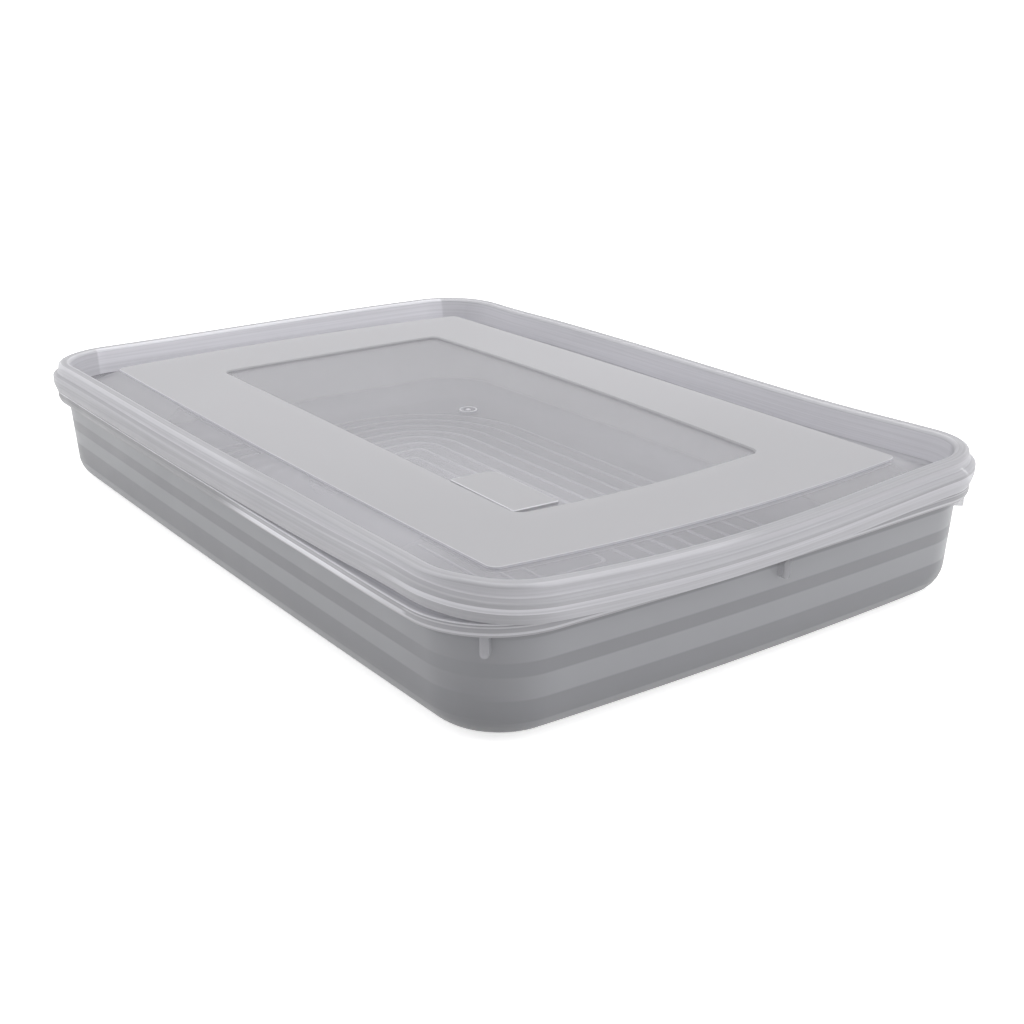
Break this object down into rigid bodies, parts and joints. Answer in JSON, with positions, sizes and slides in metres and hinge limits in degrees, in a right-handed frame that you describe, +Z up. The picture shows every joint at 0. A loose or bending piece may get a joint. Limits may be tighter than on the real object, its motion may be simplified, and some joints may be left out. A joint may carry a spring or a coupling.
{
  "type": "food storage container with lift-off lid",
  "caption": "Low rectangular clear plastic food container: drafted tub with a flanged rim and a press-on lid with a raised frosted frame around a window.",
  "frame": {"origin": "the middle of the closed container's footprint, on the plane it stands on", "axes": "+X along the length, +Y across the width, +Z up out of the lid"},
  "size_m": [0.3864, 0.2628, 0.0603],
  "materials": {
    "clear_tub": "translucent natural plastic, smooth, softly banded walls",
    "clear_lid": "translucent natural plastic, smooth, with a fine-grained frosted frame and pad"
  },
  "bodies": {
    "tub": {"tub": "clear_tub"},
    "lid": {"lid": "clear_lid"}
  },
  "joints": [
    {"name": "lid_lift", "type": "slide", "parent": "tub", "child": "lid", "axis": [0, 0, 1], "range_m": [0, 0.1]}
  ]
}
